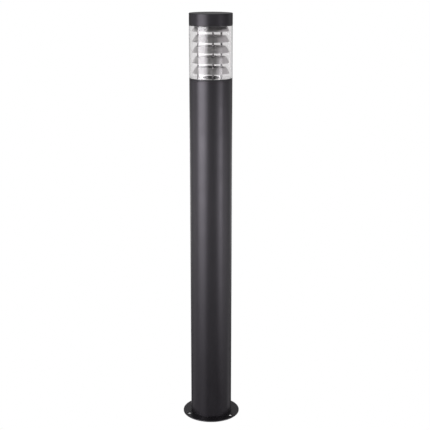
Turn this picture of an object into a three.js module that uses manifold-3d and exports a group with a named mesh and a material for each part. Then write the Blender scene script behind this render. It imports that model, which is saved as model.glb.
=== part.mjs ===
// A bollard light 1 m tall: a round post on a base flange, and a lift-off louvred head.
// Millimetres, +Z up, origin at the centre of the flange's underside, front of the light towards -Y.
import * as THREE from 'three';
import { mergeVertices } from 'three/addons/utils/BufferGeometryUtils.js';
import Module from 'manifold-3d';

const wasm = await Module();
wasm.setup();

// ---------------------------------------------------------------- driving dimensions
const HEIGHT = 1000;
const GAP = 0.3; // clearance left between touching pieces
const ROUND = 40; // facets of a large circle
const HOLDER_ROUND = 32; // facets of the lampholder
const HOLE_ROUND = 24; // facets of an anchor hole or of the cable clamp's bore
const SMALL_ROUND = 12; // facets of a screw, sleeve or small hole
const HEXAGON = 6;
const PAST = 1; // how far a cutter runs past the face it cuts

const POST_RADIUS = 50.8;
const POST_WALL = 3;
const POST_TOP = 846.5;

const FLANGE_RADIUS = 70.7;
const FLANGE_THICKNESS = 3;
const FLANGE_CHAMFER = 0.8;
const CABLE_HOLE_RADIUS = 40;
const ANCHOR_COUNT = 3;
const ANCHOR_CIRCLE_RADIUS = 60;
const ANCHOR_HOLE_RADIUS = 4.5;
const ANCHOR_TURN = -66.5; // azimuth of the first anchor hole, in degrees
const WELD_SIZE = 3.6;

const RING_THICKNESS = 2.7;
const SPIGOT_LENGTH = 32;
const SPIGOT_WALL = 4.2;
const RING_HOLE_RADIUS = 24;
const O_RING_SECTION = 0.95;
const O_RING_BELOW_RING = 8;
const O_RING_SIDES = 6;
const GASKET_THICKNESS = 0.7;
const GASKET_INSIDE_BORE = 0.4; // how far a gasket shows inside the clear cylinder
const GASKET_INSIDE_EDGE = 0.2; // how far it stays back from the post's outer face
const PLATE_THICKNESS = 1.2;
const PLATE_CLEARANCE = 0.85; // from the plate's edge to the clear cylinder's bore
const PLATE_HOLE_RADIUS = 20;

const DIFFUSER_RADIUS = 50.9;
const DIFFUSER_WALL = 3.2;

const CAP_RADIUS = 51;
const CAP_HEIGHT = 27;
const CAP_TOP_THICKNESS = 4;
const CAP_SKIRT_WALL = 3.5;
const CAP_EDGE = 0.8;
const CAP_BOSS_RADIUS = 5;

const LOUVRE_COUNT = 5;
const LOUVRE_PITCH = 24.3;
const LOUVRE_HEIGHT = 13.9;
const LOUVRE_BOTTOM_RADIUS = 43.8;
const LOUVRE_TOP_RADIUS = 35.4;
const LOUVRE_HOLE_RADIUS = 29.2;
const LOUVRE_SHEET = 0.8;
const LOUVRE_BULGE = 0.5;
const LOUVRE_FIRST_Z = 861.8;

const ROD_COUNT = 3;
const ROD_CIRCLE_RADIUS = 32.2;
const ROD_TURN = 8.8; // azimuth of the first tie rod, in degrees
const ROD_RADIUS = 1.5;
const ROD_BELOW_RING = 5;
const ROD_INTO_CAP = 17;
const SLEEVE_RADIUS = 2.2;
const NUT_ACROSS_FLATS = 5.5;
const NUT_HEIGHT = 2.4;

const GRUB_AZIMUTHS = { left: -135, right: 135 };
const GRUB_RADIUS = 2.5;
const GRUB_BELOW_RING = 21;
const GRUB_SOCKET_RADIUS = 1.45;
const GRUB_SOCKET_DEPTH = 1.6;

const TRAY_SHEET = 1.5;
const TRAY_WIDTH = 28;
const TRAY_BACK_Y = 45.2;
const TRAY_FRONT_Y = -16;
const TRAY_TOP = 801.5;
const TRAY_BOTTOM = 620;
const RIVET_RADIUS = 1.6;
const RIVET_HEAD_RADIUS = 3.2;
const RIVET_HEAD_HEIGHT = 1.2;
const RIVET_TAIL_RADIUS = 2.4;
const RIVET_TAIL_HEIGHT = 1.8;
const RIVET_HEIGHTS = { upper: 785, lower: 660 };

const HOLDER_BASE_RADIUS = 19.5;
const HOLDER_RIM_RADIUS = 18.5;
const HOLDER_TOP = 853;
const HOLDER_RIM_HEIGHT = 15;
const HOLDER_SHOULDER = 4; // height of the slope between the base and the rim
const HOLDER_MOUTH_RADIUS = 15;
const HOLDER_FLOOR = 816;
const SHELL_WALL = 0.8;
const SHELL_BELOW_TOP = 4;
const CONTACT = { front: -9, bend: -3, back: 4, half: 3, rise: 4, sheet: 0.8 };
const HOLDER_SCREW_X = 12;
const HOLDER_SCREW_LENGTH = 9;
const LEAD_ENTRY_Y = 11;
const LEAD_ENTRY_X = 7;
const LEAD_ENTRY_DEPTH = 8;
const LEAD_ENTRY_RADIUS = 1.8;
const LEAD_HOLE_RADIUS = 2.2; // where a lead passes the tray's shelf

const BLOCK_SIZE = { x: 30, y: 13, z: 20 };
const BLOCK_Z = 725;
const POLE_PITCH = 10;
const INSERT_RADIUS = 2.3;
const INSERT_BORE = 1.6;
const INSERT_BELOW_FACE = 1;
const LEAD_RADIUS = 1.2;
const LEAD_FACETS = 6;
const LEAD_STEP = 4;
const LEAD_IN_TERMINAL = 5;

const SCREW_RADIUS = 1.6;
const SCREW_HEAD_RADIUS = 3.2;
const SCREW_HEAD_HEIGHT = 2.2;
const SCREW_SLOT_HALF = 0.4;
const EARTH_Z = 762;
const EARTH_SCREW_LENGTH = 3;
const LUG_RADIUS = 4;
const LUG_THICKNESS = 1;
const LUG_TAIL_HALF = 1.6;
const LUG_TAIL_END = 12; // below the screw's axis
const CLAMP_Z = 640;
const CLAMP_WIDTH = 10;
const CLAMP_BORE_RADIUS = 5;
const CLAMP_STRAP = 1.5;
const CLAMP_SCREW_X = 10;
const CLAMP_SCREW_LENGTH = 4;
const CLAMP_FOOT_END = 4; // past the screw's axis
const CLAMP_RISE = 3; // from the tray's face to the bore's axis

// ---------------------------------------------------------------- derived places
const POST_BORE = POST_RADIUS - POST_WALL;
const RING_BOTTOM = POST_TOP + GAP;
const RING_TOP = RING_BOTTOM + RING_THICKNESS;
const LOWER_GASKET_Z = RING_TOP + GAP;
const PLATE_TOP = RING_TOP + GAP + PLATE_THICKNESS;
const DIFFUSER_BOTTOM = LOWER_GASKET_Z + GASKET_THICKNESS + GAP;
const DIFFUSER_BORE = DIFFUSER_RADIUS - DIFFUSER_WALL;
const CAP_BOTTOM = HEIGHT - CAP_HEIGHT;
const UPPER_GASKET_Z = CAP_BOTTOM - GAP - GASKET_THICKNESS;
const DIFFUSER_TOP = UPPER_GASKET_Z - GAP;
const SPIGOT_RADIUS = POST_BORE - GAP;
const SPIGOT_BOTTOM = RING_BOTTOM - SPIGOT_LENGTH;
const O_RING_Z = RING_BOTTOM - O_RING_BELOW_RING;
const O_RING_CENTRE = SPIGOT_RADIUS - 0.05 - O_RING_SECTION;
const GRUB_Z = RING_BOTTOM - GRUB_BELOW_RING;
const TRAY_FACE_Y = TRAY_BACK_Y - TRAY_SHEET;
const HOLDER_BASE_Z = TRAY_TOP + GAP;
const BLOCK_BACK_Y = TRAY_FACE_Y - GAP;
const POLE_Y = BLOCK_BACK_Y - BLOCK_SIZE.y / 2;
const POLE_XS = [-POLE_PITCH, 0, POLE_PITCH];
const LUG_BACK_Y = TRAY_FACE_Y - GAP;
const LUG_FRONT_Y = LUG_BACK_Y - LUG_THICKNESS;

// ---------------------------------------------------------------- materials
const finish = (color, roughness, metalness) =>
  new THREE.MeshStandardMaterial({ color, roughness, metalness });
const coated = () => finish(0x3b3a3d, 0.5, 0.2);
const aluminium = () => finish(0x9a9896, 0.35, 0.9);
const brightPlate = () => finish(0xc9c9c9, 0.25, 0.9);
const steel = () => finish(0xa8a8a8, 0.35, 0.9);
const brass = () => finish(0xb79a55, 0.35, 0.9);
const rubber = () => finish(0x161616, 0.8, 0);
const phenolic = () => finish(0x26221f, 0.35, 0);
const plastic = () => finish(0xe4e2da, 0.5, 0);
const clear = () => {
  const material = finish(0xe8ecee, 0.05, 0);
  material.transparent = true;
  material.opacity = 0.3;
  return material;
};
const insulation = (color) => finish(color, 0.5, 0);

// ---------------------------------------------------------------- shape helpers
function toSolid(geometry) {
  const bare = geometry.clone();
  bare.deleteAttribute('normal');
  bare.deleteAttribute('uv');
  const merged = mergeVertices(bare);
  const index = merged.index.array;
  const triangles = [];
  for (let i = 0; i < index.length; i += 3) {
    const [a, b, c] = [index[i], index[i + 1], index[i + 2]];
    if (a !== b && b !== c && c !== a) triangles.push(a, b, c);
  }
  const mesh = new wasm.Mesh({
    numProp: 3,
    vertProperties: new Float32Array(merged.attributes.position.array),
    triVerts: new Uint32Array(triangles),
  });
  return new wasm.Manifold(mesh);
}

function toGeometry(solid) {
  const mesh = solid.getMesh();
  const geometry = new THREE.BufferGeometry();
  geometry.setAttribute('position', new THREE.BufferAttribute(mesh.vertProperties, 3));
  geometry.setIndex(new THREE.BufferAttribute(mesh.triVerts, 1));
  geometry.computeVertexNormals();
  return geometry;
}

// A turned solid: the outline is a list of [radius, z], counter-clockwise with z up.
// An outline that touches the axis starts and ends on it; any other closes on itself.
function turned(outline, facets = ROUND) {
  const onAxis = outline[0][0] === 0;
  const loop = onAxis ? outline : [...outline, outline[0]];
  const points = loop.map(([radius, z]) => new THREE.Vector2(radius, z));
  return toSolid(new THREE.LatheGeometry(points, facets).rotateX(Math.PI / 2));
}

const ring = (inner, outer, low, high, facets = ROUND) =>
  turned([[inner, low], [outer, low], [outer, high], [inner, high]], facets);

const disc = (radius, low, high, facets = SMALL_ROUND) =>
  turned([[0, low], [radius, low], [radius, high], [0, high]], facets);

function block(low, high) {
  const size = high.map((value, i) => value - low[i]);
  const centre = high.map((value, i) => (value + low[i]) / 2);
  return toSolid(new THREE.BoxGeometry(...size).translate(...centre));
}

// Moves a solid built along +Z from the origin so that its +Z points along `direction` from `origin`.
function aim(solid, origin, direction) {
  const turn = new THREE.Quaternion().setFromUnitVectors(
    new THREE.Vector3(0, 0, 1), new THREE.Vector3(...direction).normalize());
  const place = new THREE.Matrix4().compose(
    new THREE.Vector3(...origin), turn, new THREE.Vector3(1, 1, 1));
  return toSolid(toGeometry(solid).applyMatrix4(place));
}

const cut = (solid, cutters) => cutters.reduce((rest, cutter) => rest.subtract(cutter), solid);
const join = (solid, others) => others.reduce((whole, other) => whole.add(other), solid);

// A place at an azimuth counted in degrees from the front (-Y) towards +X.
function polar(radius, azimuth) {
  const angle = THREE.MathUtils.degToRad(azimuth);
  return [radius * Math.sin(angle), -radius * Math.cos(angle)];
}

const evenly = (count, turn) => Array.from({ length: count }, (_, i) => turn + (360 / count) * i);
const rodPlaces = evenly(ROD_COUNT, ROD_TURN).map((azimuth) => polar(ROD_CIRCLE_RADIUS, azimuth));
const at = (solid, [x, y], z = 0) => solid.translate([x, y, z]);

// A screw with a round head: the head's underside is at `seat`, the shank runs along `direction`.
function screw(seat, direction, length) {
  const head = disc(SCREW_HEAD_RADIUS, -SCREW_HEAD_HEIGHT, 0);
  const shank = disc(SCREW_RADIUS, -SCREW_HEAD_HEIGHT / 4, length);
  const slot = block([-SCREW_HEAD_RADIUS - PAST, -SCREW_SLOT_HALF, -SCREW_HEAD_HEIGHT - PAST],
    [SCREW_HEAD_RADIUS + PAST, SCREW_SLOT_HALF, -SCREW_HEAD_HEIGHT / 2]);
  return aim(head.add(shank).subtract(slot), seat, direction);
}

const lightFixture = new THREE.Group();
const postAssembly = new THREE.Group();
const headAssembly = new THREE.Group();
lightFixture.add(postAssembly, headAssembly);

function piece(group, name, solid, material) {
  const mesh = new THREE.Mesh(toGeometry(solid), material);
  mesh.name = name;
  group.add(mesh);
}

// ---------------------------------------------------------------- post
function baseFlange() {
  const edge = FLANGE_RADIUS - FLANGE_CHAMFER;
  const plate = turned([
    [CABLE_HOLE_RADIUS, 0],
    [FLANGE_RADIUS, 0],
    [FLANGE_RADIUS, FLANGE_THICKNESS - FLANGE_CHAMFER],
    [edge, FLANGE_THICKNESS],
    [CABLE_HOLE_RADIUS, FLANGE_THICKNESS],
  ]);
  const hole = disc(ANCHOR_HOLE_RADIUS, -PAST, FLANGE_THICKNESS + PAST, HOLE_ROUND);
  const places = evenly(ANCHOR_COUNT, ANCHOR_TURN).map((azimuth) => polar(ANCHOR_CIRCLE_RADIUS, azimuth));
  return cut(plate, places.map((place) => at(hole, place)));
}

function baseWeld() {
  const low = FLANGE_THICKNESS + GAP;
  const outer = POST_BORE - GAP;
  return turned([[outer - WELD_SIZE, low], [outer, low], [outer, low + WELD_SIZE]]);
}

const outward = (azimuth) => [...polar(1, azimuth), 0];

function postTube() {
  const tube = ring(POST_BORE, POST_RADIUS, FLANGE_THICKNESS + GAP, POST_TOP);
  const throughWall = (radius) => disc(radius, POST_BORE - PAST, POST_RADIUS + PAST);
  const grubHoles = Object.values(GRUB_AZIMUTHS).map((azimuth) =>
    aim(throughWall(GRUB_RADIUS + GAP), [0, 0, GRUB_Z], outward(azimuth)));
  const rivetHoles = Object.values(RIVET_HEIGHTS).map((z) =>
    aim(throughWall(RIVET_RADIUS + GAP), [0, 0, z], [0, 1, 0]));
  return cut(tube, [...grubHoles, ...rivetHoles]);
}

function grubScrew(azimuth) {
  const start = SPIGOT_RADIUS + GAP;
  const end = POST_RADIUS - GAP;
  const body = disc(GRUB_RADIUS, start, end);
  const socket = disc(GRUB_SOCKET_RADIUS, end - GRUB_SOCKET_DEPTH, end + PAST, HEXAGON);
  return aim(body.subtract(socket), [0, 0, GRUB_Z], outward(azimuth));
}

piece(postAssembly, 'base_flange', baseFlange(), coated());
piece(postAssembly, 'base_weld', baseWeld(), aluminium());
piece(postAssembly, 'post_tube', postTube(), coated());
for (const [side, azimuth] of Object.entries(GRUB_AZIMUTHS)) {
  piece(postAssembly, `grub_screw_${side}`, grubScrew(azimuth), steel());
}

// ---------------------------------------------------------------- gear tray inside the post
const holderScrewPlaces = [[-HOLDER_SCREW_X, 0], [HOLDER_SCREW_X, 0]];
const leadEntryPlaces = [[-LEAD_ENTRY_X, LEAD_ENTRY_Y], [LEAD_ENTRY_X, LEAD_ENTRY_Y]];
const blockScrewX = POLE_PITCH / 2;

function gearTray() {
  const half = TRAY_WIDTH / 2;
  const shelf = block([-half, TRAY_FRONT_Y, TRAY_TOP - TRAY_SHEET], [half, TRAY_BACK_Y, TRAY_TOP]);
  const back = block([-half, TRAY_FACE_Y, TRAY_BOTTOM], [half, TRAY_BACK_Y, TRAY_TOP]);
  const down = (radius, place) => at(disc(radius, TRAY_TOP - TRAY_SHEET - PAST, TRAY_TOP + PAST), place);
  const through = (radius, x, z) =>
    aim(disc(radius, -PAST, TRAY_SHEET + PAST), [x, TRAY_FACE_Y, z], [0, 1, 0]);
  return cut(shelf.add(back), [
    ...holderScrewPlaces.map((place) => down(SCREW_RADIUS + GAP, place)),
    ...leadEntryPlaces.map((place) => down(LEAD_HOLE_RADIUS, place)),
    ...Object.values(RIVET_HEIGHTS).map((z) => through(RIVET_RADIUS + GAP, 0, z)),
    through(SCREW_RADIUS + GAP, blockScrewX, BLOCK_Z),
    through(SCREW_RADIUS + GAP, 0, EARTH_Z),
    through(SCREW_RADIUS + GAP, -CLAMP_SCREW_X, CLAMP_Z),
    through(SCREW_RADIUS + GAP, CLAMP_SCREW_X, CLAMP_Z),
  ]);
}

// A blind rivet along Y: round head outside the post, shank through wall and tray, upset end inside.
function trayRivet(z) {
  const headSeat = POST_RADIUS + GAP;
  const tailSeat = TRAY_FACE_Y - GAP;
  const head = disc(RIVET_HEAD_RADIUS, headSeat, headSeat + RIVET_HEAD_HEIGHT);
  const shank = disc(RIVET_RADIUS, tailSeat - RIVET_TAIL_HEIGHT / 2, headSeat + RIVET_HEAD_HEIGHT / 2);
  const tail = disc(RIVET_TAIL_RADIUS, tailSeat - RIVET_TAIL_HEIGHT, tailSeat);
  return aim(join(head, [shank, tail]), [0, 0, z], [0, 1, 0]);
}

piece(postAssembly, 'gear_tray', gearTray(), steel());
for (const [place, z] of Object.entries(RIVET_HEIGHTS)) {
  piece(postAssembly, `tray_rivet_${place}`, trayRivet(z), aluminium());
}

// ---------------------------------------------------------------- lampholder
function holderBody() {
  const neck = HOLDER_TOP - HOLDER_RIM_HEIGHT;
  const cup = turned([
    [0, HOLDER_BASE_Z],
    [HOLDER_BASE_RADIUS, HOLDER_BASE_Z],
    [HOLDER_BASE_RADIUS, neck - HOLDER_SHOULDER],
    [HOLDER_RIM_RADIUS, neck],
    [HOLDER_RIM_RADIUS, HOLDER_TOP],
    [HOLDER_MOUTH_RADIUS, HOLDER_TOP],
    [HOLDER_MOUTH_RADIUS, HOLDER_FLOOR],
    [0, HOLDER_FLOOR],
  ], HOLDER_ROUND);
  const screwHole = disc(SCREW_RADIUS + GAP, -PAST, HOLDER_SCREW_LENGTH);
  const leadHole = disc(LEAD_ENTRY_RADIUS, -PAST, LEAD_ENTRY_DEPTH);
  return cut(cup, [
    ...holderScrewPlaces.map((place) => at(screwHole, place, HOLDER_BASE_Z)),
    ...leadEntryPlaces.map((place) => at(leadHole, place, HOLDER_BASE_Z)),
  ]);
}

const holderShell = () => ring(HOLDER_MOUTH_RADIUS - GAP - SHELL_WALL, HOLDER_MOUTH_RADIUS - GAP,
  HOLDER_FLOOR + GAP, HOLDER_TOP - SHELL_BELOW_TOP, HOLDER_ROUND);

// A spring tongue on the floor of the lampholder, bent up towards the lamp's centre contact.
function holderContact() {
  const { front, bend, back, half, rise, sheet } = CONTACT;
  const foot = block([-half, front, 0], [half, bend, sheet]);
  const upright = block([-half, bend - sheet, 0], [half, bend, rise]);
  const tongue = block([-half, bend - sheet, rise - sheet], [half, back, rise]);
  return join(foot, [upright, tongue]).translate([0, 0, HOLDER_FLOOR + GAP]);
}

piece(postAssembly, 'lampholder_body', holderBody(), phenolic());
piece(postAssembly, 'lampholder_shell', holderShell(), brass());
piece(postAssembly, 'lampholder_contact', holderContact(), brass());
holderScrewPlaces.forEach(([x, y], i) => {
  const seat = [x, y, TRAY_TOP - TRAY_SHEET - GAP];
  piece(postAssembly, `lampholder_screw_${i + 1}`, screw(seat, [0, 0, 1], HOLDER_SCREW_LENGTH), steel());
});

// ---------------------------------------------------------------- terminals and leads
function terminalBlock() {
  const { x, y, z } = BLOCK_SIZE;
  const front = BLOCK_BACK_Y - y;
  const body = block([-x / 2, front, BLOCK_Z - z / 2], [x / 2, BLOCK_BACK_Y, BLOCK_Z + z / 2]);
  const bore = disc(INSERT_RADIUS + GAP, BLOCK_Z - z, BLOCK_Z + z);
  const fixing = aim(disc(SCREW_RADIUS + GAP, -PAST, y + PAST), [blockScrewX, front, BLOCK_Z], [0, 1, 0]);
  return cut(body, [...POLE_XS.map((poleX) => at(bore, [poleX, POLE_Y])), fixing]);
}

function terminalInsert(x) {
  const half = BLOCK_SIZE.z / 2 - INSERT_BELOW_FACE;
  return at(ring(INSERT_BORE, INSERT_RADIUS, BLOCK_Z - half, BLOCK_Z + half, SMALL_ROUND), [x, POLE_Y]);
}

function lead(points) {
  const path = new THREE.CatmullRomCurve3(points.map((point) => new THREE.Vector3(...point)), false,
    'centripetal');
  const section = new THREE.Shape();
  for (let i = 0; i < LEAD_FACETS; i += 1) {
    const angle = (2 * Math.PI * i) / LEAD_FACETS;
    const place = [LEAD_RADIUS * Math.cos(angle), LEAD_RADIUS * Math.sin(angle)];
    if (i === 0) section.moveTo(...place);
    else section.lineTo(...place);
  }
  const steps = Math.ceil(path.getLength() / LEAD_STEP);
  return toSolid(new THREE.ExtrudeGeometry(section, { steps, bevelEnabled: false, extrudePath: path }));
}

const leadStart = (x) => [
  [x, POLE_Y, BLOCK_Z + BLOCK_SIZE.z / 2 - LEAD_IN_TERMINAL],
  [x, POLE_Y, BLOCK_Z + BLOCK_SIZE.z / 2 + 3],
];

function lampLead(side) {
  const entry = HOLDER_BASE_Z + LEAD_ENTRY_DEPTH - 2;
  return lead([
    ...leadStart(side * POLE_PITCH),
    [side * POLE_PITCH, POLE_Y - 2, BLOCK_Z + 26],
    [side * POLE_PITCH, POLE_Y - 8, BLOCK_Z + 44],
    [side * 8, LEAD_ENTRY_Y + 6, BLOCK_Z + 60],
    [side * LEAD_ENTRY_X, LEAD_ENTRY_Y, TRAY_TOP - 6],
    [side * LEAD_ENTRY_X, LEAD_ENTRY_Y, entry],
  ]);
}

// A ring under the earth screw with a flat tail below it, which the lead is crimped to.
function earthLug() {
  const bore = SCREW_RADIUS + GAP;
  const eye = aim(ring(bore, LUG_RADIUS, 0, LUG_THICKNESS, SMALL_ROUND),
    [0, LUG_FRONT_Y, EARTH_Z], [0, 1, 0]);
  const tail = block([-LUG_TAIL_HALF, LUG_FRONT_Y, EARTH_Z - LUG_TAIL_END],
    [LUG_TAIL_HALF, LUG_BACK_Y, EARTH_Z - (bore + LUG_RADIUS) / 2]);
  return eye.add(tail);
}

function earthLead() {
  const tailFront = LUG_FRONT_Y - GAP - LEAD_RADIUS;
  return lead([
    ...leadStart(0),
    [0, (POLE_Y + tailFront) / 2, BLOCK_Z + 19],
    [0, tailFront, BLOCK_Z + 26],
    [0, tailFront, EARTH_Z - 5],
  ]);
}

piece(postAssembly, 'terminal_block', terminalBlock(), plastic());
POLE_XS.forEach((x, i) => {
  piece(postAssembly, `terminal_insert_${i + 1}`, terminalInsert(x), brass());
});
const blockFront = BLOCK_BACK_Y - BLOCK_SIZE.y - GAP;
piece(postAssembly, 'terminal_block_screw',
  screw([blockScrewX, blockFront, BLOCK_Z], [0, 1, 0], BLOCK_SIZE.y + 2), steel());
piece(postAssembly, 'live_lead', lampLead(-1), insulation(0x6b3a1e));
piece(postAssembly, 'neutral_lead', lampLead(1), insulation(0x2456a8));
piece(postAssembly, 'earth_lead', earthLead(), insulation(0x5c9a2e));
piece(postAssembly, 'earth_lug', earthLug(), steel());
piece(postAssembly, 'earth_screw',
  screw([0, LUG_FRONT_Y - GAP, EARTH_Z], [0, 1, 0], EARTH_SCREW_LENGTH), steel());

// ---------------------------------------------------------------- supply cable clamp
function cableClamp() {
  const face = TRAY_FACE_Y - GAP;
  const axisY = face - CLAMP_RISE;
  const half = CLAMP_SCREW_X + CLAMP_FOOT_END;
  const low = CLAMP_Z - CLAMP_WIDTH / 2;
  const high = CLAMP_Z + CLAMP_WIDTH / 2;
  const outer = CLAMP_BORE_RADIUS + CLAMP_STRAP;
  const slotHalf = CLAMP_BORE_RADIUS - PAST;
  const crown = at(disc(outer, low, high, HOLE_ROUND), [0, axisY]);
  const feet = block([-half, face - CLAMP_STRAP, low], [half, face, high]);
  const behind = block([-half, face, low - PAST], [half, face + outer, high + PAST]);
  const bore = at(disc(CLAMP_BORE_RADIUS, low - PAST, high + PAST, HOLE_ROUND), [0, axisY]);
  const slot = block([-slotHalf, axisY, low - PAST], [slotHalf, face + PAST, high + PAST]);
  const hole = (x) => aim(disc(SCREW_RADIUS + GAP, -CLAMP_STRAP - PAST, PAST), [x, face, CLAMP_Z], [0, 1, 0]);
  return cut(crown.add(feet), [behind, bore, slot, hole(-CLAMP_SCREW_X), hole(CLAMP_SCREW_X)]);
}

piece(postAssembly, 'cable_clamp', cableClamp(), plastic());
[-CLAMP_SCREW_X, CLAMP_SCREW_X].forEach((x, i) => {
  const seat = [x, TRAY_FACE_Y - GAP - CLAMP_STRAP - GAP, CLAMP_Z];
  piece(postAssembly, `clamp_screw_${i + 1}`, screw(seat, [0, 1, 0], CLAMP_SCREW_LENGTH), steel());
});

// ---------------------------------------------------------------- head: ring, seals, clear cylinder, cap
const rodHole = (low, high) => disc(ROD_RADIUS + GAP, low, high);
const rodHoles = (low, high) => rodPlaces.map((place) => at(rodHole(low, high), place));

function spigotRing() {
  const bore = SPIGOT_RADIUS - SPIGOT_WALL;
  const grooveHalf = O_RING_SECTION + GAP;
  const grooveFloor = O_RING_CENTRE - O_RING_SECTION - GAP;
  const body = turned([
    [RING_HOLE_RADIUS, RING_BOTTOM],
    [bore, RING_BOTTOM],
    [bore, SPIGOT_BOTTOM],
    [SPIGOT_RADIUS, SPIGOT_BOTTOM],
    [SPIGOT_RADIUS, O_RING_Z - grooveHalf],
    [grooveFloor, O_RING_Z - grooveHalf],
    [grooveFloor, O_RING_Z + grooveHalf],
    [SPIGOT_RADIUS, O_RING_Z + grooveHalf],
    [SPIGOT_RADIUS, RING_BOTTOM],
    [POST_RADIUS, RING_BOTTOM],
    [POST_RADIUS, RING_TOP],
    [RING_HOLE_RADIUS, RING_TOP],
  ]);
  return cut(body, rodHoles(RING_BOTTOM - PAST, RING_TOP + PAST));
}

function oRing() {
  const outline = Array.from({ length: O_RING_SIDES }, (_, i) => {
    const angle = (2 * Math.PI * i) / O_RING_SIDES;
    return [O_RING_CENTRE + O_RING_SECTION * Math.cos(angle), O_RING_Z + O_RING_SECTION * Math.sin(angle)];
  });
  return turned(outline);
}

const gasket = (low) => ring(DIFFUSER_BORE - GASKET_INSIDE_BORE, POST_RADIUS - GASKET_INSIDE_EDGE,
  low, low + GASKET_THICKNESS);

const reflectorPlate = () => cut(
  ring(PLATE_HOLE_RADIUS, DIFFUSER_BORE - PLATE_CLEARANCE, RING_TOP + GAP, PLATE_TOP),
  rodHoles(RING_TOP, PLATE_TOP + PAST));

const diffuser = () => ring(DIFFUSER_BORE, DIFFUSER_RADIUS, DIFFUSER_BOTTOM, DIFFUSER_TOP);

const louvreZ = (i) => LOUVRE_FIRST_Z + LOUVRE_PITCH * i;
const louvreTop = (i) => louvreZ(i) + LOUVRE_HEIGHT;
const BOSS_BOTTOM = louvreTop(LOUVRE_COUNT - 1) + GAP;
const ROD_TOP = BOSS_BOTTOM + ROD_INTO_CAP;

function topCap() {
  const ceiling = HEIGHT - CAP_TOP_THICKNESS;
  const bore = CAP_RADIUS - CAP_SKIRT_WALL;
  const shell = turned([
    [0, ceiling],
    [bore, ceiling],
    [bore, CAP_BOTTOM],
    [CAP_RADIUS, CAP_BOTTOM],
    [CAP_RADIUS, HEIGHT - CAP_EDGE],
    [CAP_RADIUS - CAP_EDGE, HEIGHT],
    [0, HEIGHT],
  ]);
  const bosses = rodPlaces.map((place) => at(disc(CAP_BOSS_RADIUS, BOSS_BOTTOM, ceiling + PAST), place));
  return cut(join(shell, bosses), rodHoles(BOSS_BOTTOM - PAST, ROD_TOP + GAP));
}

piece(headAssembly, 'spigot_ring', spigotRing(), coated());
piece(headAssembly, 'spigot_o_ring', oRing(), rubber());
piece(headAssembly, 'lower_gasket', gasket(LOWER_GASKET_Z), rubber());
piece(headAssembly, 'reflector_plate', reflectorPlate(), brightPlate());
piece(headAssembly, 'diffuser', diffuser(), clear());
piece(headAssembly, 'upper_gasket', gasket(UPPER_GASKET_Z), rubber());
piece(headAssembly, 'top_cap', topCap(), coated());

// ---------------------------------------------------------------- louvres and tie rods
// A louvre is a thin cone, slightly convex, with a flat inward flange that the tie rods pass through.
function louvre(i) {
  const base = louvreZ(i);
  const top = louvreTop(i);
  const fall = LOUVRE_BOTTOM_RADIUS - LOUVRE_TOP_RADIUS;
  const wall = LOUVRE_SHEET * Math.hypot(fall, LOUVRE_HEIGHT) / LOUVRE_HEIGHT;
  const midRadius = (LOUVRE_BOTTOM_RADIUS + LOUVRE_TOP_RADIUS) / 2 + LOUVRE_BULGE;
  const midZ = base + LOUVRE_HEIGHT / 2;
  const cone = turned([
    [LOUVRE_BOTTOM_RADIUS - wall, base],
    [LOUVRE_BOTTOM_RADIUS, base],
    [midRadius, midZ],
    [LOUVRE_TOP_RADIUS, top],
    [LOUVRE_HOLE_RADIUS, top],
    [LOUVRE_HOLE_RADIUS, top - LOUVRE_SHEET],
    [LOUVRE_TOP_RADIUS - LOUVRE_SHEET / 2, top - LOUVRE_SHEET],
    [midRadius - wall, midZ],
  ]);
  return cut(cone, rodHoles(top - LOUVRE_SHEET - PAST, top + PAST));
}

const tieRod = () => disc(ROD_RADIUS, RING_BOTTOM - ROD_BELOW_RING, ROD_TOP);

function rodNut() {
  const high = RING_BOTTOM - GAP;
  const low = high - NUT_HEIGHT;
  const corner = NUT_ACROSS_FLATS / Math.sqrt(3);
  return disc(corner, low, high, HEXAGON).subtract(rodHole(low - PAST, high + PAST));
}

// Sleeves of one level stand between the plate or louvre below and the flange of louvre i above.
function sleeve(i) {
  const below = i === 0 ? PLATE_TOP : louvreTop(i - 1);
  const above = louvreTop(i) - LOUVRE_SHEET;
  return ring(ROD_RADIUS + GAP, SLEEVE_RADIUS, below + GAP, above - GAP, SMALL_ROUND);
}

for (let i = 0; i < LOUVRE_COUNT; i += 1) {
  piece(headAssembly, `louvre_${i + 1}`, louvre(i), aluminium());
}
rodPlaces.forEach((place, rod) => {
  piece(headAssembly, `tie_rod_${rod + 1}`, at(tieRod(), place), steel());
  piece(headAssembly, `rod_nut_${rod + 1}`, at(rodNut(), place), steel());
  for (let i = 0; i < LOUVRE_COUNT; i += 1) {
    piece(headAssembly, `sleeve_${rod + 1}_${i + 1}`, at(sleeve(i), place), steel());
  }
});

export default lightFixture;
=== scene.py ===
# Looks of the bollard light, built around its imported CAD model.
# Metres, +Z up, front towards -Y. An azimuth is in degrees from the front, positive to the right.
# Outlines are lists of (radius, z, rounding), turned about a vertical axis.
import math

import bmesh
import bpy
from mathutils import Matrix, Vector


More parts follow.
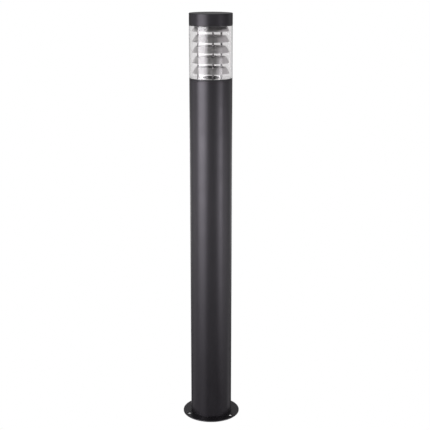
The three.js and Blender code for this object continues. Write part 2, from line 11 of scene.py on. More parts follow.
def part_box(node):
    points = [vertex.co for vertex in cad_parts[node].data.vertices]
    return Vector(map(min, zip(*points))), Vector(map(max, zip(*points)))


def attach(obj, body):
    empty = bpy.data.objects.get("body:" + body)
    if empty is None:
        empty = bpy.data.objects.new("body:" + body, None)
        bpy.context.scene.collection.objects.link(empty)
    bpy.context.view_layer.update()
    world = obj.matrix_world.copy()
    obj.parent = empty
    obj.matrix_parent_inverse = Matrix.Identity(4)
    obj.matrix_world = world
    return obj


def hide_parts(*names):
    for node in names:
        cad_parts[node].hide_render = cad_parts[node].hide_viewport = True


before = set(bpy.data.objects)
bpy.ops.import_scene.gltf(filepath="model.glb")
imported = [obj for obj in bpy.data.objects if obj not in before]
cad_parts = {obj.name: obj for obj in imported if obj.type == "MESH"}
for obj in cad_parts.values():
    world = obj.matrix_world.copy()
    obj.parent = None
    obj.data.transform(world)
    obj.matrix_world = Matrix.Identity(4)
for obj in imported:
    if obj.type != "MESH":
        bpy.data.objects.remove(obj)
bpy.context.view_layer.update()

MM = 0.001
TURNS = 160  # facets round a large part
HOLDER_TURNS = 96  # facets round the lampholder
FINE = 40  # facets round a rod, sleeve or screw
HEXAGON = 6
ARC_STEPS = 5  # steps in a rounded corner
SHARP_ANGLE = math.radians(35)  # edges sharper than this aren't smoothed
ON_AXIS = 1e-7  # points nearer the axis than this count as on it
HAIR = 0.3 * MM  # the clearance that CAD keeps between touching pieces
PAST = 1 * MM  # how far a cutter runs past the face it cuts
DRILL = 10 * MM  # how far a drill runs to each side of its place
Y_AXIS = Vector((0, 1, 0))
Z_AXIS = Vector((0, 0, 1))


# ---------------------------------------------------------------- places read from the CAD model
def low(node):
    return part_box(node)[0]


def high(node):
    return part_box(node)[1]


def radius(node):
    return high(node).x


def centre(node):
    lowest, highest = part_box(node)
    return (lowest + highest) / 2


def length_along(node, direction):
    return (high(node) - low(node)).dot(direction)


def near_end(node, direction):
    """The point on a node's centre line where it starts, seen along a direction."""
    return centre(node) - direction * length_along(node, direction) / 2


def polar(distance, azimuth):
    angle = math.radians(azimuth)
    return Vector((distance * math.sin(angle), -distance * math.cos(angle), 0))


# ---------------------------------------------------------------- mesh tools
def new_object(name, mesh):
    piece = bpy.data.objects.new(name, mesh)
    bpy.context.scene.collection.objects.link(piece)
    return piece


def from_bmesh(name, bm):
    bmesh.ops.recalc_face_normals(bm, faces=bm.faces)
    mesh = bpy.data.meshes.new(name)
    bm.to_mesh(mesh)
    bm.free()
    for face in mesh.polygons:
        face.use_smooth = True
    mesh.set_sharp_from_angle(angle=SHARP_ANGLE)
    return new_object(name, mesh)


def rounded(outline):
    """The points of a closed outline, with each corner turned into an arc of its rounding."""
    points = []
    count = len(outline)
    for i, (x, z, rounding) in enumerate(outline):
        corner = Vector((x, z))
        if rounding == 0:
            points.append(corner)
            continue
        before = (Vector(outline[i - 1][:2]) - corner).normalized()
        after = (Vector(outline[(i + 1) % count][:2]) - corner).normalized()
        half = before.angle(after) / 2
        start = corner + before * rounding / math.tan(half)
        end = corner + after * rounding / math.tan(half)
        middle = corner + (before + after).normalized() * rounding / math.sin(half)
        sweep = (start - middle).angle_signed(end - middle)
        for step in range(ARC_STEPS + 1):
            turn = Matrix.Rotation(-sweep * step / ARC_STEPS, 2)
            points.append(middle + turn @ (start - middle))
    return points


def turned_bmesh(points, facets):
    """A solid turned about Z. Points on the axis become a single vertex."""
    bm = bmesh.new()
    angles = [2 * math.pi * k / facets for k in range(facets)]
    rings = []
    for x, z in points:
        if x < ON_AXIS:
            rings.append([bm.verts.new((0, 0, z))])
        else:
            rings.append([bm.verts.new((x * math.sin(a), -x * math.cos(a), z)) for a in angles])
    for ring_a, ring_b in zip(rings, rings[1:] + rings[:1]):
        if len(ring_a) == 1 and len(ring_b) == 1:
            continue
        for k in range(facets):
            following = (k + 1) % facets
            corners = [ring_a[k % len(ring_a)], ring_a[following % len(ring_a)],
                       ring_b[following % len(ring_b)], ring_b[k % len(ring_b)]]
            bm.faces.new(list(dict.fromkeys(corners)))
    return bm


def turned(name, outline, facets=TURNS, place=(0, 0)):
    """A turned piece. An outline that touches the axis starts and ends on it."""
    bm = turned_bmesh(rounded(outline), facets)
    bmesh.ops.translate(bm, verts=bm.verts, vec=(*place, 0))
    return from_bmesh(name, bm)


def ring_outline(inner, outer, bottom, top, rounding):
    corners = ((inner, bottom), (outer, bottom), (outer, top), (inner, top))
    return [(*corner, rounding) for corner in corners]


def disc_outline(outer, bottom, top, rounding):
    return [(0, bottom, 0), (outer, bottom, rounding), (outer, top, rounding), (0, top, 0)]


def extruded(name, outline, start, end, across=(1, 0, 0), up=(0, 1, 0), edge=0):
    """A prism. Its outline of (u, v, rounding) lies on the across and up axes, its length on their third."""
    bm = bmesh.new()
    face = bm.faces.new([bm.verts.new((u, v, start)) for u, v in rounded(outline)])
    grown = bmesh.ops.extrude_face_region(bm, geom=[face])["geom"]
    far = [part for part in grown if isinstance(part, bmesh.types.BMVert)]
    bmesh.ops.translate(bm, verts=far, vec=(0, 0, end - start))
    if edge:
        rims = [e for e in bm.edges if e.verts[0].co.z == e.verts[1].co.z]
        bmesh.ops.bevel(bm, geom=rims, offset=edge, segments=2, profile=0.5, affect="EDGES",
                        clamp_overlap=True)
    across, up = Vector(across), Vector(up)
    axes = Matrix((across, up, across.cross(up))).transposed()
    bmesh.ops.transform(bm, matrix=axes.to_4x4(), verts=bm.verts)
    return from_bmesh(name, bm)


def arc(middle, distance, start, end, steps):
    """Outline points on an arc about a (u, v) middle, between two angles in degrees."""
    angles = [math.radians(start + (end - start) * k / steps) for k in range(steps + 1)]
    return [(middle[0] + distance * math.cos(a), middle[1] + distance * math.sin(a), 0) for a in angles]


def aimed(piece, origin, direction):
    """Turns a piece built along +Z from the origin so that it points along direction from origin."""
    turn = Z_AXIS.rotation_difference(direction).to_matrix().to_4x4()
    piece.data.transform(Matrix.Translation(origin) @ turn)
    return piece


def boolean(piece, cutter, operation="DIFFERENCE"):
    modifier = piece.modifiers.new("boolean", "BOOLEAN")
    modifier.operation = operation
    modifier.solver = "EXACT"
    modifier.object = cutter
    graph = bpy.context.evaluated_depsgraph_get()
    mesh = bpy.data.meshes.new_from_object(piece.evaluated_get(graph))
    piece.modifiers.clear()
    piece.data = mesh
    bpy.data.objects.remove(cutter)


def hole(piece, outer, place, direction, depth=DRILL):
    """Drills from depth before a place to depth past it."""
    drill = turned("cutter", disc_outline(outer, -depth, depth, 0), FINE)
    boolean(piece, aimed(drill, place, direction))


# ---------------------------------------------------------------- material tools
class Shader:
    """A small wrapper for building the nodes of a new material, or of the world's tree."""

    def __init__(self, name, tree=None, output="ShaderNodeOutputMaterial"):
        if tree is None:
            self.material = bpy.data.materials.new(name)
            self.material.use_nodes = True
            tree = self.material.node_tree
        self.tree = tree
        self.tree.nodes.clear()
        self.output = self.node(output)
        self.coordinates = self.node("ShaderNodeTexCoord").outputs["Object"]

    def node(self, kind, **settings):
        made = self.tree.nodes.new(kind)
        for key, value in settings.items():
            setattr(made, key, value)
        return made

    def link(self, source, target):
        self.tree.links.new(source, target)

    def feed(self, value, target):
        """Links a socket's value to a target, or sets a plain number or a colour on it."""
        if isinstance(value, bpy.types.NodeSocket):
            self.link(value, target)
        elif isinstance(value, tuple):
            target.default_value = (*value, 1)
        else:
            target.default_value = value

    def noise(self, scale, detail, stretch=(1, 1, 1)):
        mapping = self.node("ShaderNodeMapping")
        mapping.inputs["Scale"].default_value = stretch
        self.link(self.coordinates, mapping.inputs["Vector"])
        texture = self.node("ShaderNodeTexNoise")
        self.feed(scale, texture.inputs["Scale"])
        self.feed(detail, texture.inputs["Detail"])
        self.link(mapping.outputs["Vector"], texture.inputs["Vector"])
        return texture.outputs["Fac"]

    def spread(self, source, given, wanted):
        """Maps a given range of values linearly to the wanted one, clamped."""
        node = self.node("ShaderNodeMapRange")
        for name, value in zip(("From Min", "From Max", "To Min", "To Max"), (*given, *wanted)):
            self.feed(value, node.inputs[name])
        self.link(source, node.inputs["Value"])
        return node.outputs["Result"]

    def blend_colours(self, factor, first, second):
        ramp = self.node("ShaderNodeValToRGB")
        ramp.color_ramp.elements[0].color = (*first, 1)
        ramp.color_ramp.elements[1].color = (*second, 1)
        self.link(factor, ramp.inputs["Fac"])
        return ramp.outputs["Color"]

    def bump(self, height, strength, distance, before=None):
        node = self.node("ShaderNodeBump")
        self.feed(strength, node.inputs["Strength"])
        self.feed(distance, node.inputs["Distance"])
        self.link(height, node.inputs["Height"])
        if before is not None:
            self.link(before, node.inputs["Normal"])
        return node.outputs["Normal"]

    def along(self, axis):
        """How far a point lies along an axis through the origin."""
        dot = self.node("ShaderNodeVectorMath", operation="DOT_PRODUCT")
        dot.inputs[1].default_value = axis
        self.link(self.coordinates, dot.inputs[0])
        return dot.outputs["Value"]

    def ramp(self, share, stops):
        """A value that follows (share, value) stops."""
        peak = max(value for _, value in stops)
        node = self.node("ShaderNodeValToRGB")
        elements = node.color_ramp.elements
        while len(elements) < len(stops):
            elements.new(1.0)
        for element, (position, value) in zip(elements, stops):
            element.position = position
            element.color = (value / peak, value / peak, value / peak, 1)
        self.link(share, node.inputs["Fac"])
        return self.multiply(node.outputs["Color"], peak)

    def multiply(self, first, second):
        node = self.node("ShaderNodeMath", operation="MULTIPLY")
        self.feed(first, node.inputs[0])
        self.feed(second, node.inputs[1])
        return node.outputs["Value"]

    def mix(self, share, first, second):
        node = self.node("ShaderNodeMixShader")
        for source, target in zip((share, first, second), node.inputs):
            self.link(source, target)
        return node.outputs["Shader"]

    def clear(self, colour):
        node = self.node("ShaderNodeBsdfTransparent")
        self.feed(colour, node.inputs["Color"])
        return node.outputs["BSDF"]

    def glow(self, kind, colour, strength):
        """A shader that gives light: an Emission node, or a Background node in the world's tree."""
        node = self.node(kind)
        self.feed(colour, node.inputs["Color"])
        self.feed(strength, node.inputs["Strength"])
        return node.outputs[0]

    def principled(self, sockets):
        """A Principled shader with its sockets fed by name."""
        node = self.node("ShaderNodeBsdfPrincipled")
        for name, value in sockets.items():
            self.feed(value, node.inputs[name])
        return node.outputs["BSDF"]

    def finish(self, surface):
        self.link(surface, self.output.inputs["Surface"])


# ---------------------------------------------------------------- materials
MOST = (0.3, 0.7)  # the range that holds most values of a noise
WHOLE = (0, 1)
BARE = 1.0  # metallic value of bare metal
WHITE = (1, 1, 1)


def powder_coat():
    s = Shader("powder_coat")
    cloud = s.spread(s.noise(scale=9, detail=3), MOST, WHOLE)
    peel = s.bump(s.noise(scale=420, detail=1), strength=0.25, distance=0.12 * MM)
    s.finish(s.principled({
        "Base Color": s.blend_colours(cloud, (0.0042, 0.0037, 0.0046), (0.0054, 0.0048, 0.0059)),
        "Roughness": s.spread(s.noise(scale=30, detail=4), MOST, (0.30, 0.36)),
        "Normal": s.bump(s.noise(scale=2600, detail=2), strength=0.35, distance=0.06 * MM, before=peel),
        "IOR": 1.43,
        "Specular Tint": (1.0, 0.96, 1.04),
    }))
    return s.material


def spun_aluminium():
    s = Shader("spun_aluminium")
    lines = s.noise(scale=9000, detail=3, stretch=(0.004, 0.004, 1))
    contrast = s.spread(lines, (0.35, 0.65), WHOLE)
    s.finish(s.principled({
        "Base Color": s.blend_colours(contrast, (0.47, 0.458, 0.455), (0.57, 0.556, 0.55)),
        "Roughness": s.spread(s.noise(scale=60, detail=3), MOST, (0.34, 0.42)),
        "Normal": s.bump(lines, strength=0.12, distance=0.03 * MM),
        "Metallic": BARE,
    }))
    return s.material


def bright_plate():
    s = Shader("bright_plate")
    lines = s.noise(scale=4000, detail=3, stretch=(1, 0.01, 0.01))
    s.finish(s.principled({
        "Base Color": s.blend_colours(lines, (0.74, 0.74, 0.74), (0.82, 0.82, 0.82)),
        "Roughness": s.spread(s.noise(scale=40, detail=3), MOST, (0.12, 0.2)),
        "Normal": s.bump(lines, strength=0.06, distance=0.02 * MM),
        "Metallic": BARE,
    }))
    return s.material


def machined(name, dark, bright, roughness):
    s = Shader(name)
    lines = s.noise(scale=7000, detail=2, stretch=(0.02, 0.02, 1))
    s.finish(s.principled({
        "Base Color": s.blend_colours(lines, dark, bright),
        "Roughness": s.spread(s.noise(scale=300, detail=3), MOST, (roughness - 0.05, roughness + 0.07)),
        "Normal": s.bump(lines, strength=0.1, distance=0.02 * MM),
        "Metallic": BARE,
    }))
    return s.material


def moulded(name, dark, bright, roughness, grain=1800):
    s = Shader(name)
    s.finish(s.principled({
        "Base Color": s.blend_colours(s.noise(scale=120, detail=3), dark, bright),
        "Roughness": s.spread(s.noise(scale=400, detail=2), MOST, (roughness - 0.05, roughness + 0.05)),
        "Normal": s.bump(s.noise(scale=grain, detail=2), strength=0.15, distance=0.04 * MM),
    }))
    return s.material


def clear_acrylic():
    """Clear extruded plastic. Light from lamps passes through it, so that the louvres inside are lit."""
    s = Shader("clear_acrylic")
    glass = s.principled({
        "Base Color": (0.965, 0.957, 0.958),
        "Roughness": s.spread(s.noise(scale=500, detail=4), (0.5, 0.8), (0.03, 0.05)),
        "IOR": 1.49,
        "Transmission Weight": 1.0,
    })
    shadow = s.node("ShaderNodeLightPath").outputs["Is Shadow Ray"]
    s.finish(s.mix(shadow, glass, s.clear((0.85, 0.86, 0.86))))
    return s.material


WELD = machined("weld_metal", (0.42, 0.42, 0.43), (0.60, 0.60, 0.60), roughness=0.45)
MATERIALS = {
    "powder_coat": powder_coat(),
    "louvre_metal": spun_aluminium(),
    "bright_plate": bright_plate(),
    "rod_steel": machined("rod_steel", (0.075, 0.07, 0.07), (0.12, 0.115, 0.115), roughness=0.3),
    "zinc_steel": machined("zinc_steel", (0.50, 0.51, 0.52), (0.66, 0.66, 0.67), roughness=0.35),
    "plain_aluminium": machined("plain_aluminium", (0.55, 0.55, 0.55), (0.68, 0.68, 0.68), roughness=0.38),
    "brass_contact": machined("nickelled_brass", (0.60, 0.50, 0.32), (0.72, 0.62, 0.42), roughness=0.3),
    "seal_rubber": moulded("seal_rubber", (0.012, 0.012, 0.012), (0.022, 0.022, 0.022), roughness=0.75),
    "holder_phenolic": moulded("holder_phenolic", (0.020, 0.016, 0.014), (0.028, 0.023, 0.020),
                               roughness=0.3, grain=900),
    "white_plastic": moulded("white_plastic", (0.72, 0.71, 0.66), (0.78, 0.77, 0.72), roughness=0.5),
    "clear_cylinder": clear_acrylic(),
    "brown_lead": moulded("brown_insulation", (0.11, 0.045, 0.02), (0.14, 0.06, 0.025), roughness=0.4),
    "blue_lead": moulded("blue_insulation", (0.02, 0.08, 0.32), (0.03, 0.10, 0.38), roughness=0.4),
    "earth_lead": moulded("green_insulation", (0.10, 0.28, 0.03), (0.14, 0.34, 0.04), roughness=0.4),
}


def dress(piece, body, node, slot, material=None):
    """Gives a piece its material, its body and the CAD node that it replaces. Flat faces stay flat."""
    modifier = piece.modifiers.new("weighted_normals", "WEIGHTED_NORMAL")
    modifier.keep_sharp = True
    piece.data.materials.clear()
    piece.data.materials.append(material or MATERIALS[slot])
    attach(piece, body)
    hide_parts(node)


# ---------------------------------------------------------------- post
POST_RADIUS = radius("post_tube")
POST_WALL = 3 * MM
POST_BORE = POST_RADIUS - POST_WALL
POST_TOP = high("post_tube").z
FLANGE_RADIUS = radius("base_flange")
FLANGE_TOP = high("base_flange").z
CABLE_HOLE = 40 * MM
ANCHOR_CIRCLE = 60 * MM
ANCHOR_HOLE = 4.5 * MM
ANCHOR_AZIMUTHS = [-66.5, 53.5, 173.5]
WELD_BULGE = 0.5 * MM
GRUB_AZIMUTHS = {"grub_screw_left": -135, "grub_screw_right": 135}
GRUB_RADIUS = 2.5 * MM
GRUB_SOCKET = 1.4 * MM  # radius over the corners
GRUB_SOCKET_DEPTH = 1.6 * MM


def make_flange():
    flange = turned("flange", [
        (CABLE_HOLE, 0, 0.3 * MM),
        (FLANGE_RADIUS, 0, 0.4 * MM),
        (FLANGE_RADIUS, FLANGE_TOP, 1.2 * MM),
        (CABLE_HOLE, FLANGE_TOP, 0.5 * MM),
    ])
    for azimuth in ANCHOR_AZIMUTHS:
        hole(flange, ANCHOR_HOLE, polar(ANCHOR_CIRCLE, azimuth), Z_AXIS)
    dress(flange, "post", "base_flange", "powder_coat")


def make_post():
    tube = turned("post", ring_outline(POST_BORE, POST_RADIUS, FLANGE_TOP, POST_TOP, 0.4 * MM))
    for node, azimuth in GRUB_AZIMUTHS.items():
        place = polar(POST_RADIUS, azimuth) + Z_AXIS * centre(node).z
        hole(tube, GRUB_RADIUS + HAIR, place, polar(1, azimuth))
    dress(tube, "post", "post_tube", "powder_coat")


def make_weld():
    """The bead inside the foot of the post, with a rounded face."""
    node = "base_weld"
    bottom, top = low(node).z, high(node).z
    outer = radius(node)
    inner = outer - (top - bottom)
    bead = turned("weld_bead", [
        (inner, bottom, 0.3 * MM),
        (outer, bottom, 0),
        (outer, top, 0.3 * MM),
        ((inner + outer) / 2 - WELD_BULGE, (bottom + top) / 2 + WELD_BULGE, 1.5 * MM),
    ])
    dress(bead, "post", node, "plain_aluminium", WELD)


def make_grub_screw(node, azimuth):
    end = POST_RADIUS - HAIR
    grub = turned(f"{node}_steel", disc_outline(GRUB_RADIUS, POST_BORE, end, 0.4 * MM), FINE)
    socket = disc_outline(GRUB_SOCKET, end - GRUB_SOCKET_DEPTH, end + PAST, 0)
    boolean(grub, turned("cutter", socket, HEXAGON))
    aimed(grub, Z_AXIS * centre(node).z, polar(1, azimuth))
    dress(grub, "post", node, "zinc_steel")


make_flange()
make_post()
make_weld()
for grub_node, grub_azimuth in GRUB_AZIMUTHS.items():
    make_grub_screw(grub_node, grub_azimuth)


# ---------------------------------------------------------------- gear tray and what is fixed to it
TRAY_SHEET = 1.5 * MM
TRAY_FACE = high("gear_tray").y - TRAY_SHEET
TRAY_TOP = high("gear_tray").z
HOLDER_SCREWS = ["lampholder_screw_1", "lampholder_screw_2"]
CLAMP_SCREWS = ["clamp_screw_1", "clamp_screw_2"]
UPRIGHT_SCREWS = ["terminal_block_screw", "earth_screw", *CLAMP_SCREWS]
SCREW_AXES = {**dict.fromkeys(HOLDER_SCREWS, Z_AXIS), **dict.fromkeys(UPRIGHT_SCREWS, Y_AXIS)}
SCREW_RADIUS = 1.6 * MM
SCREW_HOLE = SCREW_RADIUS + HAIR
SCREW_SLOT_HALF = 0.4 * MM
HEAD_RADIUS = 3.2 * MM  # of screws and rivets
HEAD_HEIGHT = 2.2 * MM
RIVETS = ["tray_rivet_upper", "tray_rivet_lower"]
RIVET_RADIUS = 1.6 * MM
RIVET_HEAD_HEIGHT = 1.2 * MM
RIVET_TAIL_RADIUS = 2.4 * MM
RIVET_TAIL_HEIGHT = 1.8 * MM
MANDREL_RADIUS = 0.9 * MM
MANDREL_BELOW_HEAD = 0.5 * MM
LEAD_RADIUS = 1.2 * MM
LEAD_HOLE = 2.2 * MM  # where a lead passes the tray's shelf
LEAD_ENTRY = Vector((7 * MM, 11 * MM))  # where the right-hand lead enters the lampholder
LEAD_ENTRY_RADIUS = 1.8 * MM
LEAD_ENTRY_DEPTH = 8 * MM
HOLDER_SCREW_DEPTH = 9 * MM
HOLDER_RIM_INSET = 1 * MM
HOLDER_RIM_HEIGHT = 15 * MM
HOLDER_SHOULDER = 4 * MM
HOLDER_MOUTH = 15 * MM
THREAD_DEPTH = 0.3 * MM
THREAD_PITCH = 3.6 * MM
THREAD_SHEET = 0.5 * MM
THREAD_STEPS = 80
TONGUE_SHEET = 0.8 * MM
TONGUE_FOOT = 6 * MM
INSERTS = [f"terminal_insert_{i}" for i in (1, 2, 3)]
INSERT_RADIUS = 2.3 * MM
INSERT_BORE = 1.6 * MM
VALLEY_DEPTH = 1.2 * MM
VALLEY_HALF = 1.5 * MM
WELL_RADIUS = 1.7 * MM
WELL_DEPTH = 3.5 * MM
WELL_OFFSET = 5 * MM
LUG_RADIUS = 4 * MM
LUG_TAIL_HALF = 1.6 * MM
CLAMP_BORE = 5 * MM
CLAMP_STRAP = 1.5 * MM
CLAMP_RISE = 3 * MM  # from the tray's face to the bore's axis


def make_screw(node, direction):
    """A pan-head screw with a slot."""
    length = length_along(node, direction)
    screw = turned(f"{node}_steel", [
        (0, 0, 0),
        (HEAD_RADIUS, 0, 1.1 * MM),
        (HEAD_RADIUS, HEAD_HEIGHT, 0.2 * MM),
        (SCREW_RADIUS, HEAD_HEIGHT, 0.1 * MM),
        (SCREW_RADIUS, length, 0.5 * MM),
        (0, length, 0),
    ], FINE)
    reach = HEAD_RADIUS + PAST
    corners = ((-reach, -SCREW_SLOT_HALF), (reach, -SCREW_SLOT_HALF),
               (reach, SCREW_SLOT_HALF), (-reach, SCREW_SLOT_HALF))
    boolean(screw, extruded("cutter", [(*corner, 0) for corner in corners], -PAST, HEAD_HEIGHT / 2))
    aimed(screw, near_end(node, direction), direction)
    dress(screw, "post", node, "zinc_steel")


def make_rivet(node):
    """A blind rivet: upset end inside, domed head outside with the broken-off mandrel in it."""
    length = length_along(node, Y_AXIS)
    head = length - RIVET_HEAD_HEIGHT
    rivet = turned(f"{node}_dome", [
        (0, 0, 0),
        (RIVET_TAIL_RADIUS, 0, 0.6 * MM),
        (RIVET_TAIL_RADIUS, RIVET_TAIL_HEIGHT, 0.3 * MM),
        (RIVET_RADIUS, RIVET_TAIL_HEIGHT, 0),
        (RIVET_RADIUS, head, 0),
        (HEAD_RADIUS, head, 0.1 * MM),
        (HEAD_RADIUS - 0.3 * MM, head + RIVET_HEAD_HEIGHT / 2, 0.4 * MM),
        (MANDREL_RADIUS + 0.1 * MM, length, 0.2 * MM),
        (MANDREL_RADIUS, length - MANDREL_BELOW_HEAD, 0.1 * MM),
        (0, length - MANDREL_BELOW_HEAD, 0),
    ], FINE)
    aimed(rivet, near_end(node, Y_AXIS), Y_AXIS)
    dress(rivet, "post", node, "plain_aluminium")


def make_tray():
    """A bent sheet: an upright leaf against the post's wall and a shelf for the lampholder."""
    node = "gear_tray"
    front, back = low(node).y, high(node).y
    bottom, shelf = low(node).z, TRAY_TOP - TRAY_SHEET
    outline = [
        (front, shelf, 0.3 * MM),
        (TRAY_FACE, shelf, 0.5 * MM),
        (TRAY_FACE, bottom, 0.3 * MM),
        (back, bottom, 0.3 * MM),
        (back, TRAY_TOP, 2 * MM),
        (front, TRAY_TOP, 0.3 * MM),
    ]
    tray = extruded("bent_tray", outline, low(node).x, high(node).x, Y_AXIS, Z_AXIS)
    for screw in HOLDER_SCREWS:
        hole(tray, SCREW_HOLE, (*centre(screw).xy, TRAY_TOP), Z_AXIS)
    for screw in UPRIGHT_SCREWS:
        hole(tray, SCREW_HOLE, (centre(screw).x, TRAY_FACE, centre(screw).z), Y_AXIS)
    for side in (-1, 1):
        hole(tray, LEAD_HOLE, (side * LEAD_ENTRY.x, LEAD_ENTRY.y, TRAY_TOP), Z_AXIS)
    for rivet in RIVETS:
        hole(tray, RIVET_RADIUS + HAIR, (0, TRAY_FACE, centre(rivet).z), Y_AXIS)
    dress(tray, "post", node, "zinc_steel")


def make_holder():
    """The lampholder's dark moulded cup."""
    node = "lampholder_body"
    bottom, top = low(node).z, high(node).z
    base = radius(node)
    rim = base - HOLDER_RIM_INSET
    shoulder = top - HOLDER_RIM_HEIGHT
    floor = low("lampholder_shell").z - HAIR
    cup = turned("holder_cup", [
        (0, bottom, 0),
        (base, bottom, 0.8 * MM),
        (base, shoulder - HOLDER_SHOULDER, 1 * MM),
        (rim, shoulder, 2 * MM),
        (rim, top, 1.2 * MM),
        (HOLDER_MOUTH, top, 0.8 * MM),
        (HOLDER_MOUTH, floor, 0.8 * MM),
        (0, floor, 0),
    ], HOLDER_TURNS)
    for screw in HOLDER_SCREWS:
        hole(cup, SCREW_HOLE, (*centre(screw).xy, bottom), Z_AXIS, HOLDER_SCREW_DEPTH)
    for side in (-1, 1):
        place = (side * LEAD_ENTRY.x, LEAD_ENTRY.y, bottom)
        hole(cup, LEAD_ENTRY_RADIUS, place, Z_AXIS, LEAD_ENTRY_DEPTH)
    dress(cup, "post", node, "holder_phenolic")


def make_shell():
    """The lampholder's shell, rolled into a rounded thread form."""
    node = "lampholder_shell"
    bottom, top = low(node).z, high(node).z
    wave = []
    for k in range(THREAD_STEPS + 1):
        z = bottom + (top - bottom) * k / THREAD_STEPS
        dip = THREAD_DEPTH * (1 + math.cos(2 * math.pi * z / THREAD_PITCH)) / 2
        wave.append((radius(node) - dip, z, 0))
    inner = [(x - THREAD_SHEET, z, 0) for x, z, _ in reversed(wave)]
    dress(turned("holder_shell", wave + inner, HOLDER_TURNS), "post", node, "brass_contact")


def make_contact():
    """The lampholder's centre contact, a tongue bent up from its foot and then back."""
    node = "lampholder_contact"
    bottom, top = low(node).z, high(node).z
    front, back = low(node).y, high(node).y
    bend = front + TONGUE_FOOT
    outline = [
        (front, bottom, 0.2 * MM),
        (bend, bottom, 0.6 * MM),
        (bend, top - TONGUE_SHEET, 0.3 * MM),
        (back, top - TONGUE_SHEET, 0.2 * MM),
        (back, top, 0.2 * MM),
        (bend - TONGUE_SHEET, top, 0.9 * MM),
        (bend - TONGUE_SHEET, bottom + TONGUE_SHEET, 0.3 * MM),
        (front, bottom + TONGUE_SHEET, 0.2 * MM),
    ]
    tongue = extruded("holder_tongue", outline, low(node).x, high(node).x, Y_AXIS, Z_AXIS, edge=0.1 * MM)
    dress(tongue, "post", node, "brass_contact")


def make_terminal_block():
    """A three-pole terminal strip, with a valley between poles and two screw wells to each pole."""
    node = "terminal_block"
    lowest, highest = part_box(node)
    poles = [centre(insert) for insert in INSERTS]
    outline = [(lowest.x, lowest.y, 1.2 * MM)]
    for left, right in zip(poles, poles[1:]):
        middle = (left.x + right.x) / 2
        outline.append((middle - VALLEY_HALF, lowest.y, 0.6 * MM))
        outline.append((middle, lowest.y + VALLEY_DEPTH, 0.4 * MM))
        outline.append((middle + VALLEY_HALF, lowest.y, 0.6 * MM))
    outline.append((highest.x, lowest.y, 1.2 * MM))
    outline.append((highest.x, highest.y, 0.6 * MM))
    outline.append((lowest.x, highest.y, 0.6 * MM))
    block = extruded("terminal_strip", outline, lowest.z, highest.z, edge=0.3 * MM)
    for pole in poles:
        hole(block, INSERT_RADIUS + HAIR, pole, Z_AXIS, length_along(node, Z_AXIS))
        for side in (-1, 1):
            well = (pole.x, lowest.y, pole.z + side * WELL_OFFSET)
            hole(block, WELL_RADIUS, well, Y_AXIS, WELL_DEPTH)
    screw = centre("terminal_block_screw")
    hole(block, SCREW_HOLE, (screw.x, centre(node).y, screw.z), Y_AXIS)
    dress(block, "post", node, "white_plastic")


def make_insert(node):
    outline = ring_outline(INSERT_BORE, INSERT_RADIUS, low(node).z, high(node).z, 0.2 * MM)
    barrel = turned(f"{node}_barrel", outline, FINE, centre(node).xy)
    dress(barrel, "post", node, "brass_contact")


def make_lead(node, slot, points):
    """An insulated lead: a round tube along a smooth line through its points."""
    curve = bpy.data.curves.new(f"{node}_line", "CURVE")
    curve.dimensions = "3D"
    curve.bevel_depth = LEAD_RADIUS
    curve.bevel_resolution = 3
    curve.resolution_u = 8
    curve.use_fill_caps = True
    line = curve.splines.new("BEZIER")
    line.bezier_points.add(len(points) - 1)
    for place, point in zip(points, line.bezier_points):
        point.co = place
        point.handle_left_type = "AUTO"
        point.handle_right_type = "AUTO"
    carrier = new_object(f"{node}_line", curve)
    graph = bpy.context.evaluated_depsgraph_get()
    mesh = bpy.data.meshes.new_from_object(carrier.evaluated_get(graph))
    bpy.data.objects.remove(carrier)
    dress(new_object(f"{node}_tube", mesh), "post", node, slot)


def make_lamp_lead(node, slot, insert, side):
    """A lead from its terminal up through the tray's shelf into the lampholder."""
    x, y = centre(insert).xy
    top = high("terminal_block").z
    make_lead(node, slot, [
        (x, y, top - 5 * MM),
        (x, y, top + 3 * MM),
        (x, y - 2 * MM, top + 16 * MM),
        (x, y - 8 * MM, top + 34 * MM),
        (side * 8 * MM, LEAD_ENTRY.y + 6 * MM, top + 50 * MM),
        (side * LEAD_ENTRY.x, LEAD_ENTRY.y, TRAY_TOP - 6 * MM),
        (side * LEAD_ENTRY.x, LEAD_ENTRY.y, high(node).z),
    ])


def make_earth_lead():
    """A lead from the middle terminal to the lug's tail."""
    node = "earth_lead"
    x, y = centre(INSERTS[1]).xy
    top = high("terminal_block").z
    lug_y = low("earth_lug").y - HAIR - LEAD_RADIUS
    make_lead(node, "earth_lead", [
        (x, y, top - 5 * MM),
        (x, y, top + 3 * MM),
        (x, (y + lug_y) / 2, top + 9 * MM),
        (x, lug_y, top + 16 * MM),
        (x, lug_y, high(node).z),
    ])


def make_lug():
    """The earth lug: an eye under the screw and a tail that the lead lies on."""
    node = "earth_lug"
    eye = (0, centre("earth_screw").z)
    bottom = low(node).z
    start = math.degrees(math.asin(LUG_TAIL_HALF / LUG_RADIUS))
    outline = [
        (LUG_TAIL_HALF, bottom, 0.4 * MM),
        *arc(eye, LUG_RADIUS, start - 90, 270 - start, steps=32),
        (-LUG_TAIL_HALF, bottom, 0.4 * MM),
    ]
    lug = extruded("lug", outline, -high(node).y, -low(node).y, (1, 0, 0), Z_AXIS, edge=0.1 * MM)
    hole(lug, SCREW_HOLE, (eye[0], centre(node).y, eye[1]), Y_AXIS)
    dress(lug, "post", node, "zinc_steel")


